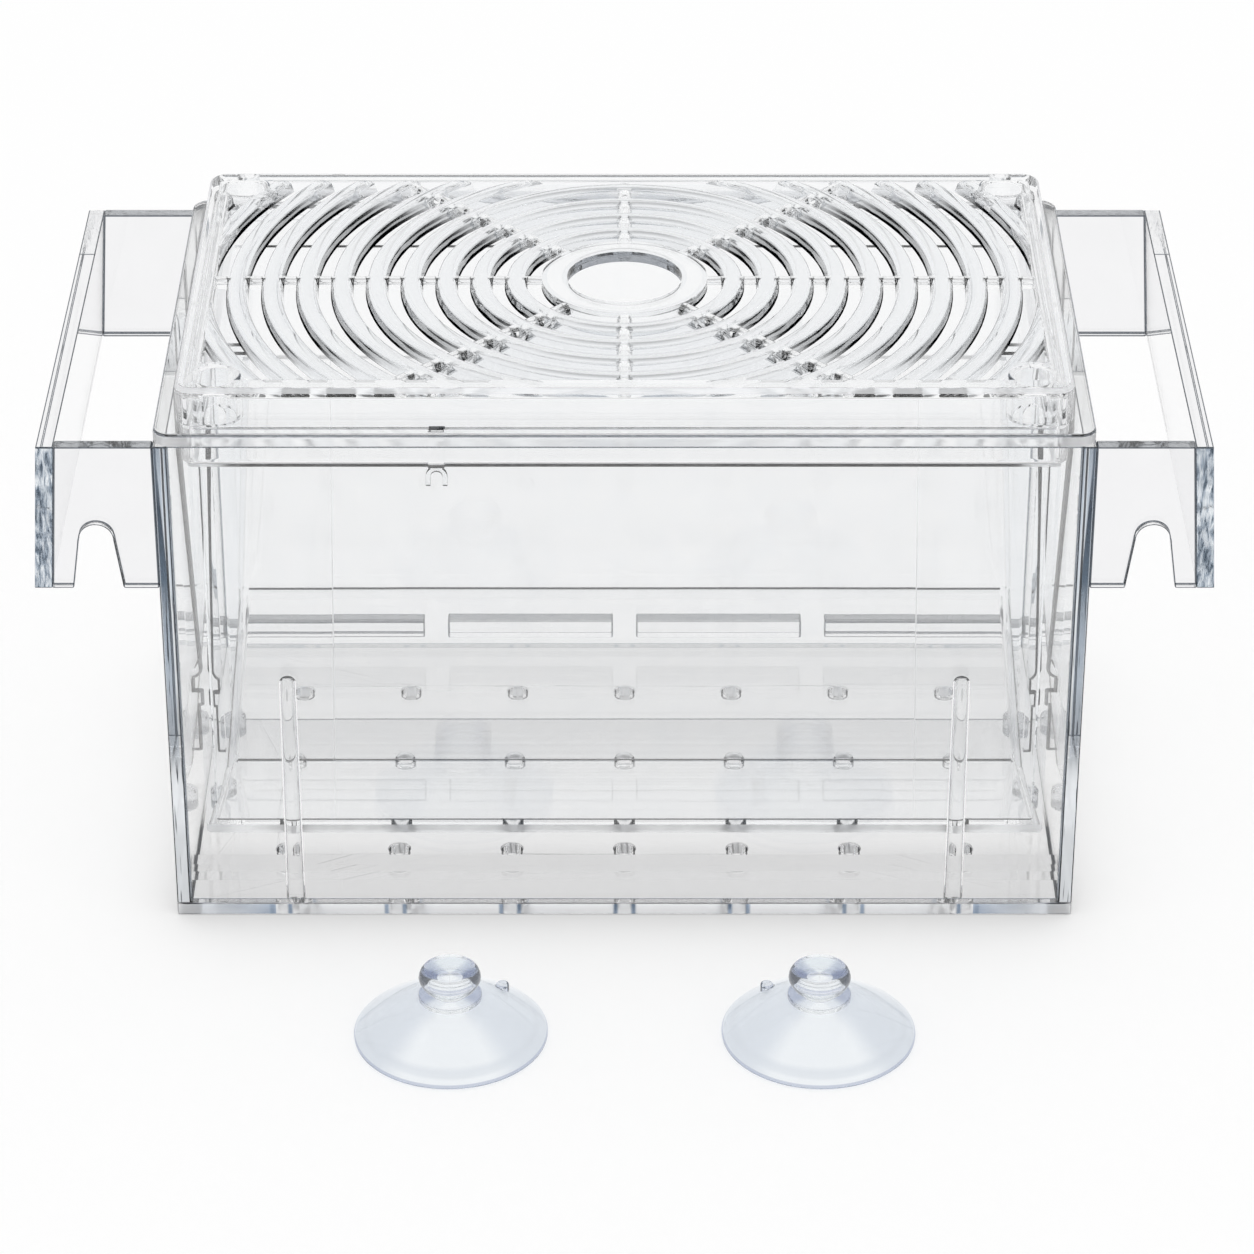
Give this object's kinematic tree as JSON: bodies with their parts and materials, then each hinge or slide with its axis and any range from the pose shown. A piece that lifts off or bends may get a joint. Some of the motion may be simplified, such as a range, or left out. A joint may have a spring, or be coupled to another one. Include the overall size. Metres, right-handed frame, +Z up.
{
  "type": "fish breeding box",
  "caption": "Clear hang-on aquarium breeding box with a V-bottomed tray, divider, ring-grille lid with a feeding hole, wing hangers and suction cups.",
  "frame": {"origin": "centre of the tank's flat underside", "axes": "+X along the tank's length to the right wing, +Y from the front panel to the back panel, +Z up"},
  "size_m": [0.2536, 0.1839, 0.1301],
  "materials": {
    "clear_sheet": "clear cast acrylic sheet, polished faces and sawn edges",
    "clear_moulding": "clear moulded polystyrene, glossy",
    "soft_pvc": "clear soft PVC with a faint blue cast"
  },
  "bodies": {
    "tank": {"base_panel": "clear_sheet", "front_panel": "clear_sheet", "back_panel": "clear_sheet", "left_end_panel": "clear_sheet", "right_end_panel": "clear_sheet", "front_foot_rail": "clear_sheet", "back_foot_rail": "clear_sheet", "left_front_rib": "clear_sheet", "right_front_rib": "clear_sheet", "tray_rest_studs": "clear_sheet", "left_wing_front_plate": "clear_sheet", "left_wing_outer_plate": "clear_sheet", "left_wing_back_plate": "clear_sheet", "right_wing_front_plate": "clear_sheet", "right_wing_outer_plate": "clear_sheet", "right_wing_back_plate": "clear_sheet"},
    "tray": {"breeding_tray": "clear_moulding"},
    "divider": {"centre_divider": "clear_sheet"},
    "lid": {"lid": "clear_moulding"},
    "left_cup": {"left_suction_cup": "soft_pvc"},
    "right_cup": {"right_suction_cup": "soft_pvc"}
  },
  "joints": [
    {"name": "lid_lift", "type": "slide", "parent": "tank", "child": "lid", "axis": [0, 0, 1], "range_m": [0, 0.3]},
    {"name": "tray_lift", "type": "slide", "parent": "tank", "child": "tray", "axis": [0, 0, 1], "range_m": [0, 0.12]},
    {"name": "divider_lift", "type": "slide", "parent": "tray", "child": "divider", "axis": [0, 0, 1], "range_m": [0, 0.1]},
    {"name": "left_cup_lift", "type": "slide", "parent": "tank", "child": "left_cup", "axis": [0, 0, 1], "range_m": [0, 0.05]},
    {"name": "right_cup_lift", "type": "slide", "parent": "tank", "child": "right_cup", "axis": [0, 0, 1], "range_m": [0, 0.05]}
  ],
  "couplings": [
    {"joint": "tray_lift", "follows": "lid_lift", "ratio": 0.4},
    {"joint": "divider_lift", "follows": "lid_lift", "ratio": 0.333}
  ]
}
